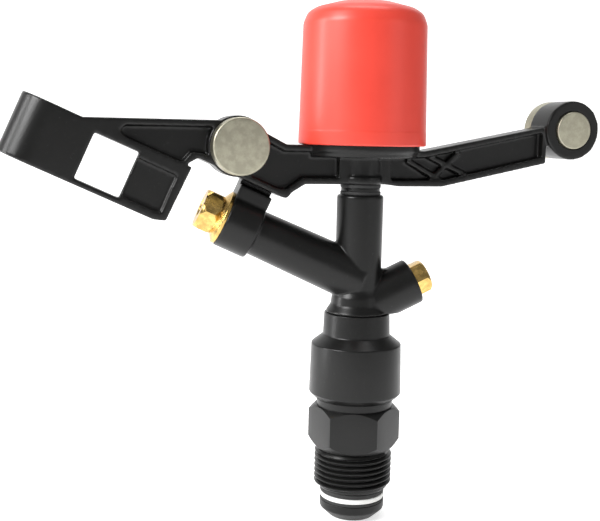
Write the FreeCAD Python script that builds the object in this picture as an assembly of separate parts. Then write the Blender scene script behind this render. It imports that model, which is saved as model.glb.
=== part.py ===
import FreeCAD, Part
import math
import os

# Full-circle impact sprinkler in millimetres. Z is the axis that the head turns about,
# the origin is where the inlet thread meets the nut's hexagon, the jet leaves towards -X
# and the swing arm rests in front of its tower, on the -Y side.

Vector = FreeCAD.Vector

# --- fits and clearances ---
RUNNING = 0.05            # radial gap of a shaft that turns in its bore
SLIP = 0.02               # radial gap of a piece that is pressed or screwed home
TOUCH = 0.05              # gap between flat faces that rest on each other across a joint
LOOSE = 0.35              # gap between parts that pass without touching

# --- inlet thread and bearing nut (G 3/4) ---
THREAD_R = 13.22
THREAD_PITCH = 1.814
THREAD_DEPTH = 1.16
THREAD_CREST = 0.4
THREAD_LENGTH = 14.3
THREAD_CRESTS = 8
THREAD_FULL_CRESTS = 7
THREAD_LEAD_IN = 0.7      # each crest past the full ones is this much lower
HEX_AF = 27.0
HEX_HEIGHT = 14.4
HEX_CHAMFER_LOW = 2.6
HEX_CHAMFER_TOP = 1.7
NUT_NECK_R = 12.85
NUT_NECK_HEIGHT = 6.6

# --- stem that passes through the nut ---
STEM_R = 6.6
STEM_BORE_R = 5.0
STEM_TOP_Z = 46.0
FLANGE_R = 11.0
FLANGE_HEIGHT = 5.8
FLANGE_CHAMFER = 3.0
RUBBER_THICK = 1.6
PTFE_THICK = 1.7
STEM_WASHER_THICK = 1.0
STEM_SEAL_Z = 40.0
STEM_SEAL_HEIGHT = 1.2
STEM_SEAL_DEPTH = 0.8

# --- bearing spring and the sleeve that keeps sand off it ---
SEAT_THICK = 1.0
SEAT_R = 11.8
BEARING_WIRE = 1.5
BEARING_COIL_R = 9.7
BEARING_TURNS = 4
SLEEVE_Z0 = 17.0
SLEEVE_R_LOW = 15.63
SLEEVE_R_TOP = 15.18
SLEEVE_CHAMFER = 2.1
SLEEVE_SHOULDER_Z = 35.8
SLEEVE_CONE = 3.1
SLEEVE_ROOF = 2.2
COLLAR_R = 11.1
COLLAR_TOP_Z = 46.3

# --- head body ---
NECK_R = 8.7
SKIRT_R = 10.9
SKIRT_TOP_R = 9.0
SKIRT_HEIGHT = 2.9
NECK_TOP_Z = 52.0
NECK_CONE = 2.0
POST_R = 7.75
POST_TOP_Z = 86.0
WATERWAY_R = 5.2
WATERWAY_TOP_Z = 61.0

# --- main nozzle branch, measured along its own axis from the head's axis ---
JET_ANGLE = 24.0
JET_Z = 57.6
BRANCH_ROOT_R = 8.35
BRANCH_R = 7.5
BRANCH_COLLAR_R = 9.25
BRANCH_COLLAR_LENGTH = 11.0
BRANCH_LENGTH = 49.6
NOZZLE_THREAD_R = 6.0
NOZZLE_THREAD_LENGTH = 10.0
NOZZLE_FLANGE_R = 9.0
NOZZLE_FLANGE_THICK = 1.0
NOZZLE_NECK_LENGTH = 1.6
NOZZLE_HEX_AF = 12.8
NOZZLE_HEX_LENGTH = 5.9
NOZZLE_JET_R = 2.8
NOZZLE_INLET_R = 4.4
SEAL_THICK = 1.0
SEAL_WIDTH = 1.3
VANE_LENGTH = 14.0
VANE_START = 20.0
VANE_THICK = 0.8

# --- rear nozzle branch ---
REAR_ANGLE = 26.0
REAR_Z = 47.7
REAR_R = 7.85
REAR_LENGTH = 21.2
REAR_WATERWAY_R = 3.2
REAR_THREAD_R = 4.2
REAR_THREAD_LENGTH = 7.0
REAR_HEX_AF = 10.0
REAR_HEX_LENGTH = 5.2
REAR_JET_R = 1.6
WEB_THICK = 4.0
WEB_LENGTH = 10.4
WEB_TOP_Z = 61.1

# --- tower that stops the arm ---
TOWER_FRONT = 5.0
TOWER_BACK = 8.3
TOWER_TOP = 24.0
TOWER_STEP = 12.4
TOWER_FOOT = 6.5

# --- axle, hub washers and the return spring under the cap ---
AXLE_R = 3.0
AXLE_Z0 = 68.0
HUB_WASHER_R = 6.7
HUB_WASHER_THICK = 1.16
BUSH_R = 4.5
TOP_WASHER_THICK = 1.0
TOP_WASHER_R = 6.5
ANCHOR_TUBE_R = 6.0
ANCHOR_Z = 131.0
ANCHOR_THICK = 3.0
AXLE_WASHER_R = 8.0
AXLE_WASHER_THICK = 1.0
AXLE_NUT_AF = 10.0
AXLE_NUT_HEIGHT = 5.0
AXLE_END = 1.0
SPRING_WIRE = 1.8
SPRING_COIL_R = 12.0
SPRING_TURNS = 9
SPRING_GAP = 0.3
TANG_LENGTH = 3.0

# --- cap ---
CAP_Z0 = 102.3
CAP_R_LOW = 21.1
CAP_R_TOP = 20.2
CAP_SHOULDER_Z = 141.2
CAP_CROWN_R = 16.2
CAP_CROWN_Z = 146.3
CAP_TOP_Z = 149.1
CAP_WALL = 1.5
CAP_ROOF = 1.9

# --- swing arm, drawn in its own plane: u runs from the axis to the paddle ---
ARM_REST_ANGLE = 7.0
ARM_THICK = 9.0
ARM_WEB = 3.0
ARM_RIB = 2.1
HUB_R = 6.8
HUB_RING_R = 7.4
HUB_RING_HEIGHT = 2.5
HUB_Z0 = 89.5
DISC_R = 19.1
DISC_LOW_R = 18.3
DISC_Z0 = 98.5
DISC_STEP = 1.6
DISC_TOP_Z = 103.5
BAR_TOP_Z = 109.4
BAR_LEFT_U = 91.5
BAR_RIGHT_U = 41.0
NECK_TOP_ARM_Z = 102.1
EDGE_OFFSET = 13.9        # lower edge of the arm above the jet's centre line
TOOTH_U = 26.7
TOOTH_Z = 84.9
WEIGHT_U = 42.7
WEIGHT_Z = 101.3
WEIGHT_HEAD_R = 9.15
WEIGHT_HEAD_THICK = 4.7
WEIGHT_SHANK_R = 6.3
WEIGHT_BOSS_R = 9.7
TAIL_U = -75.1
TAIL_Z = 108.6
TAIL_BOSS_R = 10.05
TAIL_BOSS_LENGTH = 12.0
TAIL_SHANK_R = 6.35
TAIL_SHANK_PROUD = 1.0
TAIL_HEAD_R = 10.0
TAIL_HEAD_THICK = 4.5
TAIL_BEND_U = -27.5
TAIL_LOW_Z = 88.9
TAIL_HIGH_U = -20.9
TAIL_HIGH_Z = 100.7
TAIL_END_U = -66.0
TAIL_END_HIGH_Z = 109.7
TAIL_END_LOW_Z = 97.1

# --- paddle, in the jet's own direction: s along the jet, t across it ---
PADDLE_BACK = 3.5
PADDLE_S0 = 68.1
PADDLE_CURL_S = 112.6
PADDLE_BELOW = 9.35
PADDLE_ABOVE = 10.4
PADDLE_WALL = 2.0
PADDLE_PLATE = 3.0
PADDLE_CHAMFER = 3.8
CURL_R = 10.0
CURL_BACK = 16.0
CURL_CORNER = 3.0
WINDOW_S0 = 84.1
WINDOW_S1 = 98.9
WINDOW_BELOW = 7.6
WINDOW_ABOVE = 8.1
PANEL_DEPTH = 1.2
PANEL_S0 = 70.6
PANEL_ABOVE = 6.2
PANEL_BELOW = 6.6

# --- derived places ---
UPPER_WASHER_Z = -THREAD_LENGTH - RUBBER_THICK
PTFE_Z = UPPER_WASHER_Z - PTFE_THICK
STEM_WASHER_Z = PTFE_Z - STEM_WASHER_THICK
FLANGE_Z0 = STEM_WASHER_Z - FLANGE_HEIGHT
NUT_TOP_Z = HEX_HEIGHT + NUT_NECK_HEIGHT
SEAT_TOP_Z = NUT_TOP_Z + SEAT_THICK
SLEEVE_CEILING_Z = SLEEVE_SHOULDER_Z + SLEEVE_CONE - SLEEVE_ROOF
ANCHOR_TOP_Z = ANCHOR_Z + ANCHOR_THICK
AXLE_NUT_Z = ANCHOR_TOP_Z + AXLE_WASHER_THICK
AXLE_TOP_Z = AXLE_NUT_Z + AXLE_NUT_HEIGHT + AXLE_END
BRANCH_COLLAR_START = BRANCH_LENGTH - BRANCH_COLLAR_LENGTH
CAP_SLOPE = (CAP_R_LOW - CAP_R_TOP) / (CAP_SHOULDER_Z - CAP_Z0)


# --- shape helpers ---
def revolved(profile):
    """Turn a closed outline of (radius, z) points about the Z axis."""
    points = [Vector(r, 0, z) for r, z in profile]
    face = Part.Face(Part.makePolygon(points + points[:1]))
    return face.revolve(Vector(0, 0, 0), Vector(0, 0, 1), 360)


def ring(r_in, r_out, z0, height):
    return revolved([(r_in, z0), (r_out, z0), (r_out, z0 + height), (r_in, z0 + height)])


def rod(radius, z0, z1):
    return Part.makeCylinder(radius, z1 - z0, Vector(0, 0, z0))


def hexagon(across_flats, z0, height, turn=0.0):
    corner = across_flats / math.sqrt(3)
    points = [
        Vector(corner * math.cos(math.radians(turn + 60 * i)), corner * math.sin(math.radians(turn + 60 * i)), z0)
        for i in range(6)
    ]
    return Part.Face(Part.makePolygon(points + points[:1])).extrude(Vector(0, 0, height))


def chamfered_hexagon(across_flats, z0, height, low, top, turn=0.0):
    """A hexagon whose corners are turned off towards both ends."""
    corner = across_flats / math.sqrt(3)
    lathe = revolved([
        (0, z0), (corner - low, z0), (corner + SLIP, z0 + low),
        (corner + SLIP, z0 + height - top), (corner - top, z0 + height), (0, z0 + height),
    ])
    return hexagon(across_flats, z0, height, turn).common(lathe)


def on_branch(shape, angle, z, side):
    """Lay a shape that is drawn along Z onto a branch; side is -1 for the jet, 1 for the rear."""
    tilt = FreeCAD.Rotation(Vector(0, 1, 0), side * (90 - angle))
    moved = shape.copy()
    moved.Placement = FreeCAD.Placement(Vector(0, 0, z), tilt).multiply(shape.Placement)
    return moved


def on_jet(shape):
    return on_branch(shape, JET_ANGLE, JET_Z, -1)


def on_rear(shape):
    return on_branch(shape, REAR_ANGLE, REAR_Z, 1)


def helix_wire(radius, z0, z1, turns, wire):
    """A round wire wound from z0 to z1, measured at its centre line."""
    path = Part.makeHelix((z1 - z0) / turns, z1 - z0, radius)
    path.translate(Vector(0, 0, z0))
    start = path.Vertexes[0].Point
    circle = Part.Wire(Part.makeCircle(wire / 2, start, Vector(0, 1, 0)))
    return Part.Wire(path.Edges).makePipeShell([circle], True, True)


# --- pieces that stand still ---
def thread_profile():
    """Crests and roots of the inlet thread as rings, from the hexagon down."""
    root = THREAD_R - THREAD_DEPTH
    flank = (THREAD_PITCH - THREAD_CREST) / 2
    points = []
    for i in range(THREAD_CRESTS):
        crest = THREAD_R - max(0, i + 1 - THREAD_FULL_CRESTS) * THREAD_LEAD_IN
        z = -i * THREAD_PITCH
        points += [(crest, z), (crest, z - THREAD_CREST), (root, z - THREAD_CREST - flank)]
    return points + [(root, -THREAD_LENGTH + THREAD_LEAD_IN), (root - THREAD_LEAD_IN, -THREAD_LENGTH)]


def bearing_nut():
    bore = STEM_R + RUNNING
    shank = revolved([(bore, 0)] + thread_profile() + [(bore, -THREAD_LENGTH)])
    body = chamfered_hexagon(HEX_AF, 0, HEX_HEIGHT, HEX_CHAMFER_LOW, HEX_CHAMFER_TOP, 18)
    neck = rod(NUT_NECK_R, HEX_HEIGHT, NUT_TOP_Z)
    return body.fuse(neck).cut(rod(bore, 0, NUT_TOP_Z)).fuse(shank).removeSplitter()


def nut_washer():
    return ring(STEM_R + LOOSE, FLANGE_R, UPPER_WASHER_Z, RUBBER_THICK)


def spring_seat():
    return ring(STEM_R + LOOSE, SEAT_R, NUT_TOP_Z, SEAT_THICK)


def bearing_spring():
    low = SEAT_TOP_Z + BEARING_WIRE / 2
    high = SLEEVE_CEILING_Z - BEARING_WIRE / 2
    return helix_wire(BEARING_COIL_R, low, high, BEARING_TURNS, BEARING_WIRE)


def thrust_washer():
    return ring(STEM_R + LOOSE, FLANGE_R, PTFE_Z, PTFE_THICK)


# --- pieces that turn with the head ---
def stem_washer():
    return ring(STEM_R + SLIP, FLANGE_R, STEM_WASHER_Z, STEM_WASHER_THICK)


def stem_tube():
    return revolved([
        (STEM_BORE_R, FLANGE_Z0), (FLANGE_R - FLANGE_CHAMFER, FLANGE_Z0),
        (FLANGE_R, FLANGE_Z0 + FLANGE_CHAMFER), (FLANGE_R, STEM_WASHER_Z), (STEM_R, STEM_WASHER_Z),
        (STEM_R, STEM_TOP_Z), (STEM_BORE_R, STEM_TOP_Z),
    ])


def stem_seal():
    outer = STEM_R + SLIP + STEM_SEAL_DEPTH
    return ring(STEM_R + SLIP, outer - SLIP, STEM_SEAL_Z, STEM_SEAL_HEIGHT)


def sand_sleeve():
    inner = NUT_NECK_R + LOOSE
    bore = NECK_R + SLIP
    cone_top = SLEEVE_SHOULDER_Z + SLEEVE_CONE
    return revolved([
        (inner, SLEEVE_Z0), (SLEEVE_R_LOW - SLEEVE_CHAMFER, SLEEVE_Z0),
        (SLEEVE_R_LOW, SLEEVE_Z0 + SLEEVE_CHAMFER), (SLEEVE_R_TOP, SLEEVE_SHOULDER_Z),
        (COLLAR_R, cone_top), (COLLAR_R, COLLAR_TOP_Z), (bore, COLLAR_TOP_Z),
        (bore, SLEEVE_CEILING_Z), (inner, SLEEVE_CEILING_Z),
    ])


def arm_side_space():
    """The space in front of the tower that the resting arm fills."""
    depth = 100
    box = Part.makeBox(2 * depth, depth, 2 * depth)
    box.translate(Vector(-depth, ARM_THICK / 2 + TOUCH - depth, 0))
    return arm_place(box)


def tower():
    width = TOWER_FRONT + TOWER_BACK
    block = Part.makeBox(TOWER_TOP - TOWER_FOOT, width, BRANCH_COLLAR_LENGTH)
    block.translate(Vector(TOWER_FOOT, -TOWER_FRONT, BRANCH_COLLAR_START))
    above = Part.makeBox(TOWER_TOP, 10 * width, 10 * BRANCH_COLLAR_LENGTH)
    above.translate(Vector(TOWER_STEP, -5 * width, 0))
    return on_jet(block).cut(on_jet(above).common(arm_side_space()))


def rear_web():
    web = Part.makeBox(WEB_LENGTH, WEB_THICK, WEB_TOP_Z - NECK_TOP_Z)
    web.translate(Vector(0, -WEB_THICK / 2, NECK_TOP_Z))
    return web


def main_branch():
    tube = Part.makeCone(BRANCH_ROOT_R, BRANCH_R, BRANCH_COLLAR_START)
    collar = rod(BRANCH_COLLAR_R, BRANCH_COLLAR_START, BRANCH_LENGTH)
    return on_jet(tube.fuse(collar))


def branch_waterway():
    socket_start = BRANCH_LENGTH - NOZZLE_THREAD_LENGTH - LOOSE
    way = rod(WATERWAY_R, 0, socket_start).fuse(rod(NOZZLE_THREAD_R + SLIP, socket_start, BRANCH_LENGTH))
    recess = rod(NOZZLE_THREAD_R + SEAL_WIDTH + SLIP, BRANCH_LENGTH - SEAL_THICK, BRANCH_LENGTH)
    return on_jet(way.fuse(recess))


def rear_waterway():
    socket_start = REAR_LENGTH - REAR_THREAD_LENGTH - LOOSE
    way = rod(REAR_WATERWAY_R, 0, socket_start).fuse(rod(REAR_THREAD_R + SLIP, socket_start, REAR_LENGTH))
    recess = rod(REAR_THREAD_R + SEAL_WIDTH + SLIP, REAR_LENGTH - SEAL_THICK, REAR_LENGTH)
    return on_rear(way.fuse(recess))


def head_body():
    post = revolved([
        (0, SLEEVE_CEILING_Z), (NECK_R, SLEEVE_CEILING_Z), (NECK_R, COLLAR_TOP_Z), (SKIRT_R, COLLAR_TOP_Z),
        (SKIRT_TOP_R, COLLAR_TOP_Z + SKIRT_HEIGHT), (NECK_R, NECK_TOP_Z),
        (POST_R, NECK_TOP_Z + NECK_CONE), (POST_R, POST_TOP_Z - 1), (POST_R - 1, POST_TOP_Z), (0, POST_TOP_Z),
    ])
    below_skirt = rod(2 * REAR_LENGTH, 0, COLLAR_TOP_Z)
    rear_branch = on_rear(rod(REAR_R, 0, REAR_LENGTH)).cut(below_skirt)
    outside = post.fuse([main_branch(), rear_branch, rear_web(), tower()])
    seal_groove = rod(STEM_R + SLIP + STEM_SEAL_DEPTH, STEM_SEAL_Z, STEM_SEAL_Z + STEM_SEAL_HEIGHT)
    inside = [
        rod(STEM_R + SLIP, SLEEVE_CEILING_Z, STEM_TOP_Z), seal_groove,
        rod(WATERWAY_R, STEM_TOP_Z, WATERWAY_TOP_Z), branch_waterway(), rear_waterway(),
        rod(AXLE_R, AXLE_Z0, POST_TOP_Z),
    ]
    return outside.cut(inside).removeSplitter()


def jet_straightener():
    shell = WATERWAY_R - SLIP
    tube = rod(shell, VANE_START, VANE_START + VANE_LENGTH).cut(
        rod(shell - VANE_THICK, VANE_START, VANE_START + VANE_LENGTH))
    vanes = []
    for turn in (0, 60, 120):
        vane = Part.makeBox(2 * shell - VANE_THICK, VANE_THICK, VANE_LENGTH)
        vane.translate(Vector(VANE_THICK / 2 - shell, -VANE_THICK / 2, VANE_START))
        vane.rotate(Vector(0, 0, 0), Vector(0, 0, 1), turn)
        vanes.append(vane)
    return on_jet(tube.fuse(vanes).removeSplitter())


def nozzle_seal():
    inner = NOZZLE_THREAD_R + SLIP
    return on_jet(ring(inner, inner + SEAL_WIDTH - SLIP, BRANCH_LENGTH - SEAL_THICK, SEAL_THICK))


def main_nozzle():
    base = BRANCH_LENGTH
    neck = base + NOZZLE_FLANGE_THICK
    hex_start = neck + NOZZLE_NECK_LENGTH
    tip = hex_start + NOZZLE_HEX_LENGTH
    turned = revolved([
        (0, base - NOZZLE_THREAD_LENGTH), (NOZZLE_THREAD_R, base - NOZZLE_THREAD_LENGTH),
        (NOZZLE_THREAD_R, base), (NOZZLE_FLANGE_R, base), (NOZZLE_FLANGE_R, neck),
        (NOZZLE_HEX_AF / 2, hex_start), (0, hex_start),
    ])
    grip = chamfered_hexagon(NOZZLE_HEX_AF, hex_start, NOZZLE_HEX_LENGTH, 0.5, 0.9, 30)
    bore = revolved([
        (0, base - NOZZLE_THREAD_LENGTH), (NOZZLE_INLET_R, base - NOZZLE_THREAD_LENGTH),
        (NOZZLE_JET_R, hex_start), (NOZZLE_JET_R, tip), (0, tip),
    ])
    return on_jet(turned.fuse(grip).cut(bore).removeSplitter())


def rear_nozzle_seal():
    inner = REAR_THREAD_R + SLIP
    return on_rear(ring(inner, inner + SEAL_WIDTH - SLIP, REAR_LENGTH - SEAL_THICK, SEAL_THICK))


def rear_nozzle():
    thread = rod(REAR_THREAD_R, REAR_LENGTH - REAR_THREAD_LENGTH, REAR_LENGTH)
    grip = chamfered_hexagon(REAR_HEX_AF, REAR_LENGTH, REAR_HEX_LENGTH, 0.3, 1.2, 30)
    bore = rod(REAR_JET_R, 0, REAR_LENGTH + REAR_HEX_LENGTH)
    return on_rear(thread.fuse(grip).cut(bore).removeSplitter())


def axle_pin():
    return rod(AXLE_R, AXLE_Z0, AXLE_TOP_Z)


def hub_washer(place):
    return ring(AXLE_R + RUNNING, HUB_WASHER_R, POST_TOP_Z + place * HUB_WASHER_THICK, HUB_WASHER_THICK)


def arm_top_washer():
    return ring(AXLE_R + RUNNING, TOP_WASHER_R, DISC_TOP_Z + TOUCH, TOP_WASHER_THICK)


def spring_ends():
    """Heights of the return spring's lowest and highest wire centres."""
    return (
        DISC_TOP_Z + SPRING_GAP + SPRING_WIRE / 2,
        ANCHOR_Z - SPRING_GAP - SPRING_WIRE / 2,
    )


def arm_spring():
    low, high = spring_ends()
    coil = helix_wire(SPRING_COIL_R, low, high, SPRING_TURNS, SPRING_WIRE)
    lower_tang = Part.makeCylinder(SPRING_WIRE / 2, TANG_LENGTH, Vector(SPRING_COIL_R, 0, low - TANG_LENGTH))
    upper_tang = Part.makeCylinder(SPRING_WIRE / 2, TANG_LENGTH, Vector(SPRING_COIL_R, 0, high))
    return coil.fuse([lower_tang, upper_tang])


def tang_hole(z0, height):
    return Part.makeCylinder(SPRING_WIRE / 2 + SPRING_GAP, height, Vector(SPRING_COIL_R, 0, z0))


def cap_inner_radius(z):
    return CAP_R_LOW - CAP_WALL - CAP_SLOPE * (z - CAP_Z0)


def spring_anchor():
    foot = DISC_TOP_Z + TOUCH + TOP_WASHER_THICK
    bore = AXLE_R + SLIP
    rim = cap_inner_radius(ANCHOR_TOP_Z) - SLIP
    spool = revolved([
        (bore, foot), (ANCHOR_TUBE_R, foot), (ANCHOR_TUBE_R, ANCHOR_Z), (rim, ANCHOR_Z),
        (rim, ANCHOR_TOP_Z), (bore, ANCHOR_TOP_Z),
    ])
    return spool.cut(tang_hole(ANCHOR_Z, ANCHOR_THICK))


def axle_washer():
    return ring(AXLE_R + RUNNING, AXLE_WASHER_R, ANCHOR_TOP_Z, AXLE_WASHER_THICK)


def axle_nut():
    nut = chamfered_hexagon(AXLE_NUT_AF, AXLE_NUT_Z, AXLE_NUT_HEIGHT, 0.5, 0.5)
    return nut.cut(rod(AXLE_R + SLIP, AXLE_NUT_Z, AXLE_TOP_Z))


def cap_outline(shrink, z0):
    """Half outline of the cap from its open edge to its crown, moved in by a wall."""
    low = Vector(CAP_R_LOW - shrink - CAP_SLOPE * (z0 - CAP_Z0), 0, z0)
    shoulder = Vector(CAP_R_TOP - shrink, 0, CAP_SHOULDER_Z - shrink)
    crown = Vector(CAP_CROWN_R - shrink / 2, 0, CAP_CROWN_Z - shrink)
    bulge = Vector((2 * shoulder.x + crown.x) / 3 + 0.25, 0, (shoulder.z + 2 * crown.z) / 3)
    rise = CAP_TOP_Z - CAP_CROWN_Z
    dome_r = (crown.x ** 2 + rise ** 2) / (2 * rise)
    apex = Vector(0, 0, CAP_TOP_Z - shrink)
    half_way = Vector(crown.x / 2, 0, apex.z - dome_r + math.sqrt(dome_r ** 2 - (crown.x / 2) ** 2))
    edges = [
        Part.makeLine(Vector(0, 0, z0), low), Part.makeLine(low, shoulder),
        Part.Arc(shoulder, bulge, crown).toShape(), Part.Arc(crown, half_way, apex).toShape(),
        Part.makeLine(apex, Vector(0, 0, z0)),
    ]
    return Part.Face(Part.Wire(edges)).revolve(Vector(0, 0, 0), Vector(0, 0, 1), 360)


def spring_cap():
    skirt = revolved([
        (0, CAP_Z0), (cap_inner_radius(CAP_Z0), CAP_Z0), (cap_inner_radius(ANCHOR_TOP_Z), ANCHOR_TOP_Z),
        (0, ANCHOR_TOP_Z),
    ])
    crown = cap_outline(CAP_ROOF, ANCHOR_TOP_Z - SLIP)
    return cap_outline(0, CAP_Z0).cut(skirt.fuse(crown))


# --- the swing arm and its weights ---
def arm_place(shape):
    """Turn a shape that is drawn in the jet's plane to where the arm rests."""
    turned = shape.copy()
    turned.rotate(Vector(0, 0, 0), Vector(0, 0, 1), ARM_REST_ANGLE)
    return turned


def plate(points, front=-ARM_THICK / 2, back=ARM_THICK / 2):
    """Extrude an outline of (u, z) points between two depths of the arm."""
    corners = [Vector(-u, front, z) for u, z in points]
    face = Part.Face(Part.makePolygon(corners + corners[:1]))
    return face.extrude(Vector(0, back - front, 0))


def boss(u, z, radius, front=-ARM_THICK / 2, back=ARM_THICK / 2):
    return Part.makeCylinder(radius, back - front, Vector(-u, front, z), Vector(0, 1, 0))


def bar(start, end, width, front, back):
    """A straight rib between two (u, z) points."""
    run_u, run_z = end[0] - start[0], end[1] - start[1]
    length = math.hypot(run_u, run_z)
    side_u, side_z = -run_z * width / 2 / length, run_u * width / 2 / length
    return plate([
        (start[0] + side_u, start[1] + side_z), (end[0] + side_u, end[1] + side_z),
        (end[0] - side_u, end[1] - side_z), (start[0] - side_u, start[1] - side_z),
    ], front, back)


def jet_point(s, t):
    """(u, z) of a point s along the jet from the head's axis and t above its centre line."""
    turn = math.radians(JET_ANGLE)
    return s * math.cos(turn) - t * math.sin(turn), JET_Z + s * math.sin(turn) + t * math.cos(turn)


def pocketed(solid, outline):
    """Sink the same pocket into both faces and leave the web between them."""
    half, web = ARM_THICK / 2, ARM_WEB / 2
    return solid.cut([plate(outline, -half, -web), plate(outline, web, half)])


def paddle_side():
    edge = JET_Z + EDGE_OFFSET / math.cos(math.radians(JET_ANGLE))
    slope = math.tan(math.radians(JET_ANGLE))

    def on_edge(u, lift=0.0):
        return u, edge + u * slope + lift

    blank = plate([
        (0, HUB_Z0), (20.4, HUB_Z0), (24.6, 87.0), (TOOTH_U, TOOTH_Z), on_edge(TOOTH_U + 1.5), on_edge(55.4),
        (62.0, 94.0), (BAR_LEFT_U - 4, 105.0), (BAR_LEFT_U, BAR_TOP_Z), (BAR_RIGHT_U, BAR_TOP_Z),
        (26.6, NECK_TOP_ARM_Z), (0, NECK_TOP_ARM_Z),
    ])
    outer_pocket = [
        (46.0, BAR_TOP_Z - ARM_RIB), (78.0, BAR_TOP_Z - ARM_RIB), (79.6, 105.6), (77.8, 103.6), (60.4, 96.2),
        (57.5, 99.4), on_edge(54.0, ARM_RIB), on_edge(46.0, ARM_RIB),
    ]
    inner_pocket = [
        (9.0, HUB_Z0 + ARM_RIB), (21.3, 91.6), (26.7, 87.8), on_edge(30.0, ARM_RIB), on_edge(44.0, ARM_RIB),
        (44.0, BAR_TOP_Z - ARM_RIB), (41.6, BAR_TOP_Z - ARM_RIB), (27.2, NECK_TOP_ARM_Z - ARM_RIB),
        (9.0, NECK_TOP_ARM_Z - ARM_RIB),
    ]
    side = pocketed(pocketed(blank, outer_pocket), inner_pocket)
    return side.fuse(boss(WEIGHT_U, WEIGHT_Z, WEIGHT_BOSS_R))


def tail_side():
    low = [
        (0, HUB_Z0), (-HUB_RING_R, HUB_Z0), (-12, TAIL_LOW_Z), (TAIL_BEND_U, TAIL_LOW_Z),
        (TAIL_END_U, TAIL_END_LOW_Z),
    ]
    blank = plate(low + [(TAIL_END_U, TAIL_END_HIGH_Z), (TAIL_HIGH_U, TAIL_HIGH_Z), (0, TAIL_HIGH_Z)])
    pocket = [
        (-9.0, TAIL_LOW_Z + ARM_RIB), (TAIL_BEND_U, TAIL_LOW_Z + ARM_RIB),
        (TAIL_END_U + 1.5, TAIL_END_LOW_Z + ARM_RIB), (TAIL_END_U + 1.5, TAIL_END_HIGH_Z - ARM_RIB),
        (TAIL_HIGH_U, TAIL_HIGH_Z - ARM_RIB), (-9.0, TAIL_HIGH_Z - ARM_RIB),
    ]
    rib_front = -ARM_THICK / 2 + 1
    ribs = [
        bar(start, end, 1.6, rib_front, -rib_front) for start, end in (
            ((-15.0, 97.6), (-28.0, 90.6)), ((-22.5, 99.2), (-38.0, 92.2)), ((-34.0, 100.6), (-23.0, 90.4)))
    ]
    half_boss = TAIL_BOSS_LENGTH / 2
    return pocketed(blank, pocket).fuse(ribs + [boss(TAIL_U, TAIL_Z, TAIL_BOSS_R, -half_boss, half_boss)])


def paddle_outline(s0, s1, below, above):
    return [jet_point(s0, -below), jet_point(s1, -below), jet_point(s1, above), jet_point(s0, above)]


def curl():
    """The far end of the paddle, which bends back into the jet; drawn with s along -X."""
    front, turn = -ARM_THICK / 2, math.sqrt(0.5)
    inner = CURL_R - PADDLE_PLATE
    centre_y = front + CURL_R

    def at(s, y):
        return Vector(-s, y, -PADDLE_BELOW)

    def arc(radius):
        return Part.Arc(
            at(PADDLE_CURL_S, centre_y - radius),
            at(PADDLE_CURL_S + radius * turn, centre_y - radius * turn),
            at(PADDLE_CURL_S + radius, centre_y)).toShape()

    edges = [
        Part.makeLine(at(WINDOW_S1, front), at(PADDLE_CURL_S, front)), arc(CURL_R),
        Part.makeLine(at(PADDLE_CURL_S + CURL_R, centre_y), at(PADDLE_CURL_S + CURL_R, CURL_BACK)),
        Part.makeLine(at(PADDLE_CURL_S + CURL_R, CURL_BACK), at(PADDLE_CURL_S + inner, CURL_BACK)),
        Part.makeLine(at(PADDLE_CURL_S + inner, CURL_BACK), at(PADDLE_CURL_S + inner, centre_y)), arc(inner),
        Part.makeLine(at(PADDLE_CURL_S, centre_y - inner), at(WINDOW_S1, centre_y - inner)),
        Part.makeLine(at(WINDOW_S1, centre_y - inner), at(WINDOW_S1, front)),
    ]
    wire = Part.Wire(Part.__sortEdges__(edges))
    sheet = Part.Face(wire).extrude(Vector(0, 0, PADDLE_BELOW + PADDLE_ABOVE))
    sheet.rotate(Vector(0, 0, 0), Vector(0, 1, 0), JET_ANGLE)
    sheet.translate(Vector(0, 0, JET_Z))
    return sheet


def paddle():
    front = -ARM_THICK / 2
    frame = plate([
        jet_point(PADDLE_S0 + PADDLE_CHAMFER, -PADDLE_BELOW), jet_point(PADDLE_CURL_S, -PADDLE_BELOW),
        jet_point(PADDLE_CURL_S, PADDLE_ABOVE), jet_point(PADDLE_S0 - 0.6, PADDLE_ABOVE),
        jet_point(PADDLE_S0, 1.2 - PADDLE_BELOW),
    ], front, PADDLE_BACK)
    window = plate(paddle_outline(WINDOW_S0, WINDOW_S1, WINDOW_BELOW, WINDOW_ABOVE), front, PADDLE_BACK)
    panel = plate(paddle_outline(PANEL_S0, WINDOW_S0, PANEL_BELOW, PANEL_ABOVE), front, front + PANEL_DEPTH)
    behind_plate = front + PADDLE_PLATE
    channel = plate(
        paddle_outline(WINDOW_S1, PADDLE_CURL_S, PADDLE_BELOW - PADDLE_WALL, PADDLE_ABOVE - PADDLE_WALL),
        behind_plate, PADDLE_BACK)
    inlet = plate(
        paddle_outline(PADDLE_S0 - 1, WINDOW_S0, PADDLE_BELOW - PADDLE_WALL, PADDLE_ABOVE - PADDLE_WALL),
        behind_plate, PADDLE_BACK)
    return frame.fuse(curl()).cut([window, panel, channel, inlet])


def arm_hub():
    return revolved([
        (0, HUB_Z0), (HUB_RING_R, HUB_Z0), (HUB_RING_R, HUB_Z0 + HUB_RING_HEIGHT),
        (HUB_R, HUB_Z0 + HUB_RING_HEIGHT), (HUB_R, DISC_Z0), (DISC_LOW_R, DISC_Z0),
        (DISC_LOW_R, DISC_Z0 + DISC_STEP), (DISC_R, DISC_Z0 + DISC_STEP), (DISC_R, DISC_TOP_Z), (0, DISC_TOP_Z),
    ])


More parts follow.
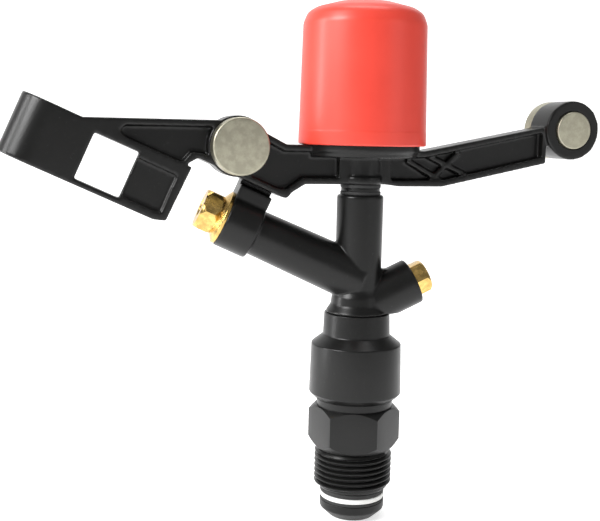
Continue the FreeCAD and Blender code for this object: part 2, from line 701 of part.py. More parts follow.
def hammer_arm():
    solid = arm_hub().fuse([paddle_side(), tail_side(), paddle()])
    half_boss = TAIL_BOSS_LENGTH / 2
    holes = [
        rod(BUSH_R + SLIP, HUB_Z0 - 1, DISC_TOP_Z),
        boss(WEIGHT_U, WEIGHT_Z, WEIGHT_SHANK_R + SLIP),
        boss(TAIL_U, TAIL_Z, TAIL_SHANK_R + SLIP, -half_boss, half_boss),
    ]
    solid = arm_place(solid.cut(holes))
    return solid.cut(tang_hole(DISC_Z0, DISC_TOP_Z - DISC_Z0)).removeSplitter()


def arm_bush():
    return ring(AXLE_R + RUNNING, BUSH_R, HUB_Z0, DISC_TOP_Z - HUB_Z0)


def front_weight():
    front = -ARM_THICK / 2
    head = boss(WEIGHT_U, WEIGHT_Z, WEIGHT_HEAD_R, front - WEIGHT_HEAD_THICK, front)
    return arm_place(head.fuse(boss(WEIGHT_U, WEIGHT_Z, WEIGHT_SHANK_R)))


def tail_weight():
    back = TAIL_BOSS_LENGTH / 2
    shank = boss(TAIL_U, TAIL_Z, TAIL_SHANK_R, -back - TAIL_SHANK_PROUD, back)
    return arm_place(shank.fuse(boss(TAIL_U, TAIL_Z, TAIL_HEAD_R, back, back + TAIL_HEAD_THICK)))


PIECES = {
    "bearing_nut": bearing_nut,
    "nut_washer": nut_washer,
    "spring_seat": spring_seat,
    "bearing_spring": bearing_spring,
    "thrust_washer": thrust_washer,
    "stem_washer": stem_washer,
    "stem_tube": stem_tube,
    "stem_seal": stem_seal,
    "sand_sleeve": sand_sleeve,
    "head_body": head_body,
    "jet_straightener": jet_straightener,
    "nozzle_seal": nozzle_seal,
    "main_nozzle": main_nozzle,
    "rear_nozzle_seal": rear_nozzle_seal,
    "rear_nozzle": rear_nozzle,
    "axle_pin": axle_pin,
    "hub_washer_low": lambda: hub_washer(0),
    "hub_washer_mid": lambda: hub_washer(1),
    "hub_washer_top": lambda: hub_washer(2),
    "hammer_arm": hammer_arm,
    "arm_bush": arm_bush,
    "front_weight": front_weight,
    "tail_weight": tail_weight,
    "arm_top_washer": arm_top_washer,
    "arm_spring": arm_spring,
    "spring_anchor": spring_anchor,
    "axle_washer": axle_washer,
    "axle_nut": axle_nut,
    "spring_cap": spring_cap,
}


os.makedirs("parts", exist_ok=True)
for name, make in PIECES.items():
    shape = make()
    shape.exportStep(f"parts/{name}.step")
    print(name, shape.isValid(), len(shape.Solids), round(shape.Volume, 1))
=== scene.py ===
import math

import bpy
from mathutils import Matrix, Vector


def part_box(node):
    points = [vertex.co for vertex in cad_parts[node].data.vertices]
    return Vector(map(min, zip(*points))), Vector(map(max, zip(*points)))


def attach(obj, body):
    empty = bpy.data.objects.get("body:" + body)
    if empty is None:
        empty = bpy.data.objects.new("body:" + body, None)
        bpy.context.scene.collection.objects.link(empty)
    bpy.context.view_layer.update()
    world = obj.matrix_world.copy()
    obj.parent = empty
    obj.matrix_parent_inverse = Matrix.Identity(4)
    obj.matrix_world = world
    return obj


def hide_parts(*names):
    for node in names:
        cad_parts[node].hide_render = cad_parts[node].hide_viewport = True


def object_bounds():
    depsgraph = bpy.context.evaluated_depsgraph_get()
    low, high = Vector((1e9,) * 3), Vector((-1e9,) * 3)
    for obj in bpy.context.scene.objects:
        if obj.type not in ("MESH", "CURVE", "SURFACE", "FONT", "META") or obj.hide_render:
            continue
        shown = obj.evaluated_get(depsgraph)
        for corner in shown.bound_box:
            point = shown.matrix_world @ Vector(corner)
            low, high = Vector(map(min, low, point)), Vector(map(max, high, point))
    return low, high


bl_info = {
    "name": "Impact sprinkler",
    "version": (1, 0, 0),
    "blender": (4, 5, 0),
    "location": "View3D > Sidebar > Sprinkler",
    "description": "Finishes the moulded, turned and plated pieces of an impact sprinkler",
    "category": "Object",
}

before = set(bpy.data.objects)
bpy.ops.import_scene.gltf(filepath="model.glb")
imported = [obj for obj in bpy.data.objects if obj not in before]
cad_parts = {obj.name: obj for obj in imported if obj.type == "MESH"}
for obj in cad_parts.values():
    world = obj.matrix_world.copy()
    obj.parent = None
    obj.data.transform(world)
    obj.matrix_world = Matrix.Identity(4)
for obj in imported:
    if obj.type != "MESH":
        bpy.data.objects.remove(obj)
CAD_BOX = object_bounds()
MM = 0.001

# --- places in millimetres that several pieces share ---
STEM_R, STEM_BORE_R, FLANGE_R = 6.6, 5.0, 11.0
SOCKET_R = 8.7                   # the head's neck inside the sleeve
COLLAR_TOP_Z = 46.32
POST_TOP_Z = 86.0
HUB_Z0, DISC_Z0, DISC_TOP_Z = 89.5, 98.5, 103.5
JET_COLLAR_LENGTH = 11.0
JET_HEX, REAR_HEX = 12.8, 10.0   # across flats
HALF_ARM, HALF_BOSS = 4.5, 6.0   # half depths of the arm and of its tail boss
WEIGHT_AT = (42.7, 101.3)        # (u, z) in the arm's plane
TAIL_AT = (-75.1, 108.6)
FRONT_SHANK_R, TAIL_SHANK_R = 6.3, 6.35


# --- sizes and colours that a user would change ---
class ThreadSizes(bpy.types.PropertyGroup):
    crest_r: bpy.props.FloatProperty(
        name="Crest radius", description="Outside radius of the inlet thread", default=0.01322, unit="LENGTH")
    depth: bpy.props.FloatProperty(
        name="Depth", description="Crest to root of the inlet thread", default=0.00116, unit="LENGTH")
    pitch: bpy.props.FloatProperty(
        name="Pitch", description="Distance between thread crests", default=0.001814, unit="LENGTH")
    length: bpy.props.FloatProperty(
        name="Length", description="Threaded length below the hexagon", default=0.0143, unit="LENGTH")
    across_flats: bpy.props.FloatProperty(
        name="Across flats", description="Width of the nut's hexagon", default=0.027, unit="LENGTH")
    hex_height: bpy.props.FloatProperty(
        name="Hexagon height", description="Height of the nut's hexagon", default=0.0144, unit="LENGTH")


class BranchSizes(bpy.types.PropertyGroup):
    jet_angle: bpy.props.FloatProperty(
        name="Jet angle", description="Rise of the main nozzle's branch",
        default=math.radians(24), subtype="ANGLE")
    jet_z: bpy.props.FloatProperty(
        name="Jet height", description="Where the main branch meets the head's axis",
        default=0.0576, unit="LENGTH")
    jet_length: bpy.props.FloatProperty(
        name="Branch length", description="From the head's axis to the nozzle's flange",
        default=0.0496, unit="LENGTH")
    rear_angle: bpy.props.FloatProperty(
        name="Rear angle", description="Rise of the rear nozzle's branch",
        default=math.radians(26), subtype="ANGLE")
    rear_z: bpy.props.FloatProperty(
        name="Rear height", description="Where the rear branch meets the head's axis",
        default=0.0477, unit="LENGTH")
    rear_length: bpy.props.FloatProperty(
        name="Rear length", description="From the head's axis to the rear nozzle",
        default=0.0212, unit="LENGTH")


class ArmSizes(bpy.types.PropertyGroup):
    rest_angle: bpy.props.FloatProperty(
        name="Rest angle", description="How far the arm rests from the jet's plane", default=math.radians(7),
        subtype="ANGLE")
    voxel: bpy.props.FloatProperty(
        name="Voxel", description="Grain of the moulded arm's surface", default=0.00042, unit="LENGTH")


class Finishes(bpy.types.PropertyGroup):
    black: bpy.props.FloatVectorProperty(
        name="Black", description="Colour of the moulded black parts", size=4, subtype="COLOR",
        default=(0.0050, 0.0050, 0.0048, 1))
    red: bpy.props.FloatVectorProperty(
        name="Red", description="Colour of the spring cap", size=4, subtype="COLOR",
        default=(0.70, 0.052, 0.030, 1))
    brass: bpy.props.FloatVectorProperty(
        name="Brass", description="Colour of the nozzles", size=4, subtype="COLOR",
        default=(0.78, 0.52, 0.17, 1))
    zinc: bpy.props.FloatVectorProperty(
        name="Zinc", description="Colour of the plated weights", size=4, subtype="COLOR",
        default=(0.42, 0.40, 0.31, 1))
    steel: bpy.props.FloatVectorProperty(
        name="Steel", description="Colour of the axle and springs", size=4, subtype="COLOR",
        default=(0.58, 0.58, 0.57, 1))
    white: bpy.props.FloatVectorProperty(
        name="White", description="Colour of the slippery washers", size=4, subtype="COLOR",
        default=(0.82, 0.82, 0.80, 1))


# --- shader expressions ---
class Shade:
    """A shader socket that can be used in Python expressions."""

    def __init__(self, tree, socket):
        self.tree = tree
        self.socket = socket

    def node(self, kind, settings=None, output=0, **inputs):
        return add_node(self.tree, kind, settings or {}, inputs, output)

    def math(self, operation, *values):
        inputs = dict(enumerate(values))
        return add_node(self.tree, "ShaderNodeMath", {"operation": operation}, inputs, 0)

    def __add__(self, other):
        return self.math("ADD", self, other)

    def __sub__(self, other):
        return self.math("SUBTRACT", self, other)

    def __mul__(self, other):
        return self.math("MULTIPLY", self, other)

    def __radd__(self, other):
        return self.math("ADD", other, self)

    def __rsub__(self, other):
        return self.math("SUBTRACT", other, self)

    def __rmul__(self, other):
        return self.math("MULTIPLY", other, self)

    def between(self, low, high):
        """Zero at low, one at high, clamped and smooth."""
        return self.node("ShaderNodeMapRange", {"interpolation_type": "SMOOTHSTEP"}, Value=self,
                         **{"From Min": low, "From Max": high})

    def mix(self, first, second):
        """First colour where this is 0, second where it is 1."""
        settings = {"data_type": "RGBA"}
        return add_node(self.tree, "ShaderNodeMix", settings, {0: self, 6: first, 7: second}, 2)


def add_node(tree, kind, settings, inputs, output):
    node = tree.nodes.new(kind)
    for name, value in settings.items():
        setattr(node, name, value)
    for name, value in inputs.items():
        target = node.inputs[name.replace("_", " ") if isinstance(name, str) else name]
        if isinstance(value, Shade):
            tree.links.new(value.socket, target)
        else:
            target.default_value = value
    return Shade(tree, node.outputs[output])


def new_material(name, **constants):
    """A material with a Principled shader, and the shader node to feed."""
    material = bpy.data.materials.new(name)
    material.use_nodes = True
    shader = material.node_tree.nodes["Principled BSDF"]
    for socket, value in constants.items():
        shader.inputs[socket.replace("_", " ")].default_value = value
    return material, shader


def place(material, turn=(0, 0, 0), move=(0, 0, 0)):
    """Object coordinates, centred and turned on a piece."""
    coordinates = add_node(material.node_tree, "ShaderNodeTexCoord", {}, {}, 3)
    settings = {"vector_type": "TEXTURE"}
    return coordinates.node("ShaderNodeMapping", settings, Vector=coordinates, Location=move, Rotation=turn)


def noise(where, scale, detail=3.0, roughness=0.55):
    inputs = {"Vector": where, "Scale": scale, "Detail": detail, "Roughness": roughness}
    return where.node("ShaderNodeTexNoise", {}, 0, **inputs)


def feed(material, shader, **links):
    for name, value in links.items():
        material.node_tree.links.new(value.socket, shader.inputs[name.replace("_", " ")])


def bump(height, strength, distance):
    return height.node("ShaderNodeBump", {}, 0, Height=height, Strength=strength, Distance=distance)


def moulded_black(colour, name="moulded_black", low=0.24, high=0.40):
    """Glossy glass-filled moulding: faint flow marks, pin-prick texture and a little dust."""
    material, shader = new_material(name, IOR=1.5, Specular_IOR_Level=0.28)
    where = place(material)
    flow = noise(where, 140, 4)
    grain = noise(where, 2600, 2)
    dust = noise(where, 900, 5, 0.7).between(0.60, 0.78)
    pale = tuple(min(1, 5 * c + 0.03) for c in colour[:3]) + (1,)
    feed(material, shader,
         Base_Color=(dust * 0.30).mix(tuple(colour), pale),
         Roughness=flow * (high - low) + low + dust * 0.12,
         Normal=bump(flow * 0.5 + grain * 0.5, 0.16, 0.00012))
    return material


def moulded_red(colour):
    """Satin coral plastic: soft mottling and a few slightly worn, paler specks."""
    material, shader = new_material("moulded_red", IOR=1.48, Coat_Weight=0.12, Coat_Roughness=0.22)
    where = place(material)
    cloud = noise(where, 60, 4)
    grain = noise(where, 1800, 3)
    speck = noise(where, 520, 5, 0.7).between(0.66, 0.80)
    deep = (colour[0] * 0.86, colour[1] * 0.72, colour[2] * 0.72, 1)
    pale = (min(1, colour[0] * 1.08), colour[1] * 1.9, colour[2] * 1.9, 1)
    base = cloud.mix(deep, tuple(colour))
    feed(material, shader,
         Base_Color=(speck * 0.35).mix(base, pale),
         Roughness=cloud * 0.12 + 0.36 + speck * 0.10,
         Normal=bump(cloud * 0.6 + grain * 0.4, 0.14, 0.00018))
    return material


def turned_metal(name, colour, centre, axis_turn, rings, dark, rough):
    """Metal off a lathe: fine rings round its own axis, stains and scratches."""
    material, shader = new_material(name, Metallic=1.0)
    where = place(material, turn=axis_turn, move=centre)
    parts = where.node("ShaderNodeSeparateXYZ", {}, 0, Vector=where)
    across = Shade(parts.tree, parts.socket.node.outputs[0])
    up = Shade(parts.tree, parts.socket.node.outputs[1])
    radius = (across * across + up * up).math("SQRT", across * across + up * up)
    groove = radius.math("SINE", radius * rings) * 0.5 + 0.5
    stain = noise(where, 330, 5, 0.65)
    fine = noise(where, 3200, 2)
    shade = tuple(dark * c for c in colour[:3]) + (1,)
    wear = stain.between(0.38, 0.66)
    feed(material, shader,
         Base_Color=wear.mix(shade, tuple(colour)),
         Roughness=stain * 0.22 + rough + groove * 0.05,
         Normal=bump(groove * 0.4 + fine * 0.35 + stain * 0.25, 0.22, 0.00010))
    return material


def soft_solid(name, colour, rough, grain_scale):
    """Rubber, PTFE and other soft rings: an even colour with a fine grain."""
    material, shader = new_material(name)
    where = place(material)
    cloud = noise(where, 260, 4)
    shade = tuple(0.8 * c for c in colour[:3]) + (1,)
    feed(material, shader,
         Base_Color=cloud.mix(shade, tuple(colour)),
         Roughness=cloud * 0.2 + rough,
         Normal=bump(noise(where, grain_scale, 3), 0.15, 0.00010))
    return material


def floor_material():
    material, shader = new_material("pale_floor", Specular_IOR_Level=0.2, Emission_Strength=0.62)
    shader.inputs["Emission Color"].default_value = (1, 1, 1, 1)
    where = place(material)
    cloud = noise(where, 3, 3)
    feed(material, shader,
         Base_Color=cloud.mix((0.90, 0.90, 0.90, 1), (0.94, 0.94, 0.94, 1)),
         Roughness=cloud * 0.1 + 0.7)
    return material


MATERIALS = {}


def make_materials(finishes):
    jet = bpy.context.scene.sprinkler_branches
    side = math.pi / 2
    front_low, front_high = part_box("front_weight")
    tail_low, tail_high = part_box("tail_weight")
    arm_turn = bpy.context.scene.sprinkler_arm.rest_angle
    MATERIALS.update({
        "black": moulded_black(finishes.black),
        "stem": moulded_black(finishes.black, "stem_black", 0.30, 0.48),
        "red": moulded_red(finishes.red),
        "jet_brass": turned_metal(
            "jet_brass", finishes.brass, (0, 0, jet.jet_z), (0, jet.jet_angle - side, 0), 14000, 0.62, 0.12),
        "rear_brass": turned_metal(
            "rear_brass", finishes.brass, (0, 0, jet.rear_z), (0, side - jet.rear_angle, 0),
            14000, 0.62, 0.12),
        "front_zinc": turned_metal(
            "front_zinc", finishes.zinc, (front_low + front_high) / 2, (side, 0, arm_turn), 9000, 0.80, 0.30),
        "tail_zinc": turned_metal(
            "tail_zinc", finishes.zinc, (tail_low + tail_high) / 2, (side, 0, arm_turn), 9000, 0.80, 0.30),
        "steel": turned_metal("turned_steel", finishes.steel, (0, 0, 0), (0, 0, 0), 12000, 0.85, 0.20),
        "white": soft_solid("white_ptfe", finishes.white, 0.42, 1500),
        "rubber": soft_solid("black_rubber", (0.018, 0.018, 0.018, 1), 0.62, 2200),
        "grey": soft_solid("grey_moulding", (0.20, 0.20, 0.21, 1), 0.45, 1500),
    })


# --- modelling helpers ---
def deselect():
    if bpy.context.object and bpy.context.object.mode != "OBJECT":
        bpy.ops.object.mode_set(mode="OBJECT")
    bpy.ops.object.select_all(action="DESELECT")


def only(piece):
    deselect()
    piece.select_set(True)
    bpy.context.view_layer.objects.active = piece


def apply_modifier(piece, kind, **settings):
    only(piece)
    modifier = piece.modifiers.new(kind.lower(), kind)
    for name, value in settings.items():
        setattr(modifier, name, value)
    bpy.ops.object.modifier_apply(modifier=modifier.name)


def settle(piece):
    """Put a piece's place, turn and scale into its mesh."""
    only(piece)
    bpy.ops.object.transform_apply(location=True, rotation=True, scale=True)


def joined(name, pieces):
    only(pieces[0])
    for piece in pieces[1:]:
        piece.select_set(True)
    bpy.ops.object.join()
    pieces[0].name = name
    return pieces[0]


def merged_copy(name, node):
    """A new piece with a CAD node's shape, its loose triangles joined."""
    piece = bpy.data.objects.new(name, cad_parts[node].data.copy())
    bpy.context.scene.collection.objects.link(piece)
    piece.data.materials.clear()
    only(piece)
    bpy.ops.object.mode_set(mode="EDIT")
    bpy.ops.mesh.select_all(action="SELECT")
    bpy.ops.mesh.remove_doubles(threshold=1e-6)
    bpy.ops.object.mode_set(mode="OBJECT")
    return piece


def rounded(outline, closed):
    """Round an outline of (radius, z, rounding) points in millimetres into arcs, as (radius, z) in metres."""
    points = [Vector((p[0], p[1])) * MM for p in outline]
    rounds = [(p[2] if len(p) > 2 else 0) * MM for p in outline]
    made = []
    for i, corner in enumerate(points):
        inner = closed or 0 < i < len(points) - 1
        if rounds[i] == 0 or not inner:
            made.append(corner)
            continue
        before, after = points[i - 1] - corner, points[(i + 1) % len(points)] - corner
        half = before.angle(after) / 2
        reach = min(rounds[i] / math.tan(half), before.length * 0.49, after.length * 0.49)
        middle = corner + (before.normalized() + after.normalized()).normalized() * reach / math.cos(half)
        start = corner + before.normalized() * reach
        sweep = (start - middle).angle_signed(corner + after.normalized() * reach - middle)
        steps = max(3, min(12, round(abs(sweep) / math.radians(12))))
        for k in range(steps + 1):
            made.append(middle + (Matrix.Rotation(-sweep * k / steps, 2) @ (start - middle)))
    return made


def drawn(name, points):
    """A line of edges in the XZ plane: one vertex, drawn out from point to point."""
    deselect()
    bpy.ops.mesh.primitive_plane_add(size=MM)
    piece = bpy.context.object
    piece.name = name
    bpy.ops.object.mode_set(mode="EDIT")
    bpy.ops.mesh.select_mode(type="VERT")
    bpy.ops.mesh.select_all(action="SELECT")
    bpy.ops.mesh.merge(type="CENTER")
    spots = [Vector((point[0], 0, point[1])) for point in points]
    bpy.ops.transform.translate(value=spots[0])
    for here, after in zip(spots, spots[1:]):
        bpy.ops.mesh.extrude_region_move(TRANSFORM_OT_translate={"value": after - here})
    bpy.ops.mesh.select_all(action="SELECT")
    return piece


def lathe(name, outline, closed=False, steps=96):
    """Turn an outline about Z."""
    points = rounded(outline, closed)
    piece = drawn(name, points + (points[:1] if closed else []))
    bpy.ops.mesh.spin(steps=steps, angle=2 * math.pi, center=(0, 0, 0), axis=(0, 0, 1))
    bpy.ops.mesh.select_all(action="SELECT")
    bpy.ops.mesh.remove_doubles(threshold=2e-6)
    bpy.ops.mesh.normals_make_consistent(inside=False)
    bpy.ops.object.mode_set(mode="OBJECT")
    bpy.ops.object.shade_smooth_by_angle(angle=math.radians(28))
    return piece


def thread_section(name, outline):
    """A closed outline of (radius, z) points in millimetres, ready to be screwed round."""
    points = [(r * MM, z * MM) for r, z in outline]
    piece = drawn(name, points + points[:1])
    bpy.ops.mesh.remove_doubles(threshold=1e-6)
    bpy.ops.object.mode_set(mode="OBJECT")
    return piece


def cap_open_ends(piece):
    """Close a screwed ridge with a face at each end."""
    only(piece)
    bpy.ops.object.mode_set(mode="EDIT")
    bpy.ops.mesh.select_all(action="DESELECT")
    bpy.ops.mesh.select_mode(type="EDGE")
    bpy.ops.mesh.select_non_manifold(extend=False)
    bpy.ops.mesh.edge_face_add()
    bpy.ops.mesh.select_all(action="SELECT")
    bpy.ops.mesh.normals_make_consistent(inside=False)
    bpy.ops.object.mode_set(mode="OBJECT")


def moved(piece, location=(0, 0, 0), rotation=(0, 0, 0)):
    piece.location = location
    piece.rotation_euler = rotation
    settle(piece)
    return piece


def on_jet(piece):
    jet = bpy.context.scene.sprinkler_branches
    return moved(piece, (0, 0, jet.jet_z), (0, jet.jet_angle - math.pi / 2, 0))


def on_rear(piece):
    jet = bpy.context.scene.sprinkler_branches
    return moved(piece, (0, 0, jet.rear_z), (0, math.pi / 2 - jet.rear_angle, 0))


def on_arm(piece, u, z):
    """Stand a piece that was turned about Z on the arm's face at (u, z), its top towards the front."""
    turn = bpy.context.scene.sprinkler_arm.rest_angle
    moved(piece, (-u * MM, 0, z * MM), (math.pi / 2, 0, 0))
    return moved(piece, rotation=(0, 0, turn))


def block(name, low, high, soften):
    """A box between two corners in millimetres, its edges rounded."""
    deselect()
    bpy.ops.mesh.primitive_cube_add(size=1, location=[(a + b) / 2 * MM for a, b in zip(low, high)])
    piece = bpy.context.object
    piece.name = name
    piece.scale = [(b - a) * MM for a, b in zip(low, high)]
    settle(piece)
    apply_modifier(piece, "BEVEL", width=soften * MM, segments=3)
    return piece


def hex_bar(name, across_flats, z0, z1, outline, turn=0.0, soften=0.25):
    """A hexagonal bar in millimetres, turned off to a lathe outline at its ends, edges rounded."""
    deselect()
    bpy.ops.mesh.primitive_cylinder_add(
        vertices=6, radius=across_flats / math.sqrt(3) * MM, depth=(z1 - z0) * MM,
        location=(0, 0, (z0 + z1) / 2 * MM), rotation=(0, 0, turn + math.pi / 2))
    piece = bpy.context.object
    piece.name = name
    settle(piece)
    turned = lathe(name + "_turned", outline, steps=96)
    apply_modifier(piece, "BOOLEAN", operation="INTERSECT", object=turned, solver="EXACT")
    bpy.data.objects.remove(turned)
    apply_modifier(piece, "BEVEL", width=soften * MM, segments=3,
                   limit_method="ANGLE", angle_limit=math.radians(32))
    only(piece)
    bpy.ops.object.shade_smooth_by_angle(angle=math.radians(25))
    return piece


def moulded(piece, voxel, smoothing, keep=1.0):
    """Fuse overlapping shells into one skin and soften its edges, as a mould does."""
    apply_modifier(piece, "REMESH", mode="VOXEL", voxel_size=voxel, use_smooth_shade=True)
    apply_modifier(piece, "SMOOTH", factor=0.5, iterations=smoothing)
    if keep < 1:
        apply_modifier(piece, "DECIMATE", ratio=keep)
    only(piece)
    bpy.ops.object.shade_smooth()
    return piece


def finish_piece(piece, body, slot, material, *nodes):
    piece.data.materials.clear()
    piece.data.materials.append(MATERIALS[material])
    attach(piece, body)
    if nodes:
        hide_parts(*nodes)


def paint(node, material):
    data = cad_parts[node].data
    data.materials.clear()
    data.materials.append(MATERIALS[material])


# --- the pieces ---
class SPRINKLER_OT_bearing_nut(bpy.types.Operator):
    """The nut that screws onto the riser: hexagon, neck and a real helical thread"""
    bl_idname = "sprinkler.bearing_nut"
    bl_label = "Bearing nut"

    def execute(self, context):
        size = context.scene.sprinkler_thread
        crest, root = size.crest_r / MM, (size.crest_r - size.depth) / MM
        flats, height, length = size.across_flats / MM, size.hex_height / MM, size.length / MM
        corner = flats / math.sqrt(3)
        hexagon = hex_bar("bearing_nut_hexagon", flats, 0, height, [
            (0, 0), (corner - 2.6, 0), (corner + 0.05, 2.9), (corner + 0.05, height - 2.1),
            (corner - 2.1, height), (0, height)], math.radians(47.5), 0.3)
        core = lathe("bearing_nut_core", [
            (6.65, 21.0), (12.85, 21.0, 0.4), (12.85, height - 0.5), (root + 0.5, height - 0.5),
            (root + 0.5, 0.2),
            (root, -0.2), (root, 0.9 - length, 0.3), (root - 0.9, -length, 0.3),
            (6.65, -length)], closed=True)
        body = joined("bearing_nut_body", [hexagon, core])
        finish_piece(body, "inlet", "black_moulding", "black", "bearing_nut")
        ridge = self.thread(crest, root, size.pitch, length)
        finish_piece(ridge, "inlet", "black_moulding", "black", "bearing_nut")
        return {"FINISHED"}

    def thread(self, crest, root, pitch, length):
        """One helical ridge that fades out at both ends."""
        turns = (length * MM - pitch) / pitch
        half = pitch / MM / 2 - 0.06
        ridge = thread_section("bearing_nut_thread", [
            (root - 0.3, -half), (root, -half), (crest - 0.14, -0.26), (crest, -0.12), (crest, 0.12),
            (crest - 0.14, 0.26), (root, half), (root - 0.3, half)])
        start = -length * MM + pitch * 0.55
        ridge.location = (0, 0, start)
        settle(ridge)
        whole = int(turns)
        apply_modifier(ridge, "SCREW", axis="Z", angle=2 * math.pi * turns, screw_offset=pitch * turns,
                       steps=96 * (whole + 1), render_steps=96 * (whole + 1), use_merge_vertices=False)
        top = start + pitch * turns
        fade = pitch * 0.9
        for vertex in ridge.data.vertices:
            flat = Vector((vertex.co.x, vertex.co.y))
            turn = (math.atan2(flat.y, flat.x) / (2 * math.pi)) % 1.0
            along = min(vertex.co.z - start + pitch * 0.5, top - vertex.co.z + pitch * 0.5)
            share = max(0.0, min(1.0, along / (fade + pitch * 0.2 * turn)))
            radius = min(flat.length, (root - 0.2) * MM + share * (crest - root + 0.2) * MM)
            vertex.co.x, vertex.co.y = flat.normalized() * radius
        cap_open_ends(ridge)
        only(ridge)
        bpy.ops.object.shade_smooth_by_angle(angle=math.radians(35))
        return ridge


class SPRINKLER_OT_stem(bpy.types.Operator):
    """The stem's flange and the three thrust washers below the nut"""
    bl_idname = "sprinkler.stem"
    bl_label = "Stem and thrust washers"

    def execute(self, context):
        stem = lathe("stem", [
            (STEM_BORE_R, -24.4, 0.5), (7.6, -24.4, 0.8), (FLANGE_R, -21.3, 1.2), (FLANGE_R, -18.62, 0.25),
            (STEM_R, -18.62, 0.2), (STEM_R, 46.0, 0.4), (STEM_BORE_R, 46.0, 0.3)], closed=True)
        finish_piece(stem, "head", "black_moulding", "stem", "stem_tube")
        self.washer("thrust_washer_lower", -18.6, 1.0, "head", "rubber_washer", "rubber", "stem_washer")
        self.washer("thrust_washer_white", -17.6, 1.7, "bearing", "ptfe", "white", "thrust_washer")
        self.washer("thrust_washer_upper", -15.9, 1.6, "inlet", "rubber_washer", "rubber", "nut_washer")
        return {"FINISHED"}

    def washer(self, name, z, thick, body, slot, material, node):
        bore, low, high = STEM_R + 0.35, z + 0.01, z + thick - 0.01
        piece = lathe(name, [
            (bore, low, 0.15), (FLANGE_R, low, 0.3), (FLANGE_R, high, 0.3), (bore, high, 0.15)], closed=True)
        finish_piece(piece, body, slot, material, node)


class SPRINKLER_OT_sleeve(bpy.types.Operator):
    """The sand sleeve over the bearing spring"""
    bl_idname = "sprinkler.sleeve"
    bl_label = "Sand sleeve"

    def execute(self, context):
        sleeve = lathe("sand_sleeve_shell", [
            (13.2, 17.0, 0.3), (13.5, 17.0, 0.3), (15.63, 19.1, 0.5), (15.18, 35.8, 0.7), (11.35, 38.8, 0.9),
            (11.05, 46.3, 0.25), (SOCKET_R + 0.02, 46.3), (SOCKET_R + 0.02, 36.7),
            (13.2, 36.7, 0.5)], closed=True, steps=128)
        finish_piece(sleeve, "head", "black_moulding", "black", "sand_sleeve")
        return {"FINISHED"}


class SPRINKLER_OT_head(bpy.types.Operator):
    """The head body: post, both branches, gusset and the tower that stops the arm"""
    bl_idname = "sprinkler.head"
    bl_label = "Head body"

    def execute(self, context):
        size = context.scene.sprinkler_branches
        length, rear = size.jet_length / MM, size.rear_length / MM
        collar = length - JET_COLLAR_LENGTH
        post = lathe("head_post", [
            (0, 36.8), (SOCKET_R, 36.8), (SOCKET_R, COLLAR_TOP_Z), (10.9, COLLAR_TOP_Z, 0.4),
            (9.0, 49.2, 0.6),
            (SOCKET_R, 52.0, 1.0), (7.75, 54.0, 2.0), (7.75, POST_TOP_Z, 0.9), (0, POST_TOP_Z)])
        tube = on_jet(lathe("head_tube", [
            (0, 0), (8.35, 0), (7.55, collar), (9.25, collar, 0.4), (9.25, length, 0.5), (0, length)]))
        back = on_rear(lathe("head_back", [(0, 5.0), (7.85, 5.0), (7.85, rear, 0.6), (0, rear)]))
        below = block("head_cut", (-40, -20, 20), (40, 20, COLLAR_TOP_Z), 0.01)
        apply_modifier(back, "BOOLEAN", operation="DIFFERENCE", object=below, solver="EXACT")
        bpy.data.objects.remove(below)
        web = block("head_web", (1, -2, 52), (10.4, 2, 61.1), 0.5)
        tower = merged_copy("head_tower", "head_body")
        self.keep_tower(tower, size)
        body = joined("head_casting", [post, tube, back, web, tower])
        moulded(body, 0.00032, 5)
        finish_piece(body, "head", "black_moulding", "black", "head_body")
        return {"FINISHED"}

    def keep_tower(self, tower, size):
        """Cut the copied body off below the tower, flat in the branch's own frame."""
        normal = Vector((math.sin(size.jet_angle), 0, math.cos(size.jet_angle)))
        point = Vector((0, 0, size.jet_z)) + normal * 8.2 * MM
        only(tower)
        bpy.ops.object.mode_set(mode="EDIT")
        bpy.ops.mesh.select_all(action="SELECT")
        bpy.ops.mesh.bisect(plane_co=point, plane_no=normal, use_fill=True, clear_inner=True)
        bpy.ops.mesh.select_all(action="SELECT")
        start = Vector((-20 * MM, 0, 0))
        bpy.ops.mesh.bisect(plane_co=start, plane_no=(-1, 0, 0), use_fill=True, clear_inner=True)
        bpy.ops.object.mode_set(mode="OBJECT")


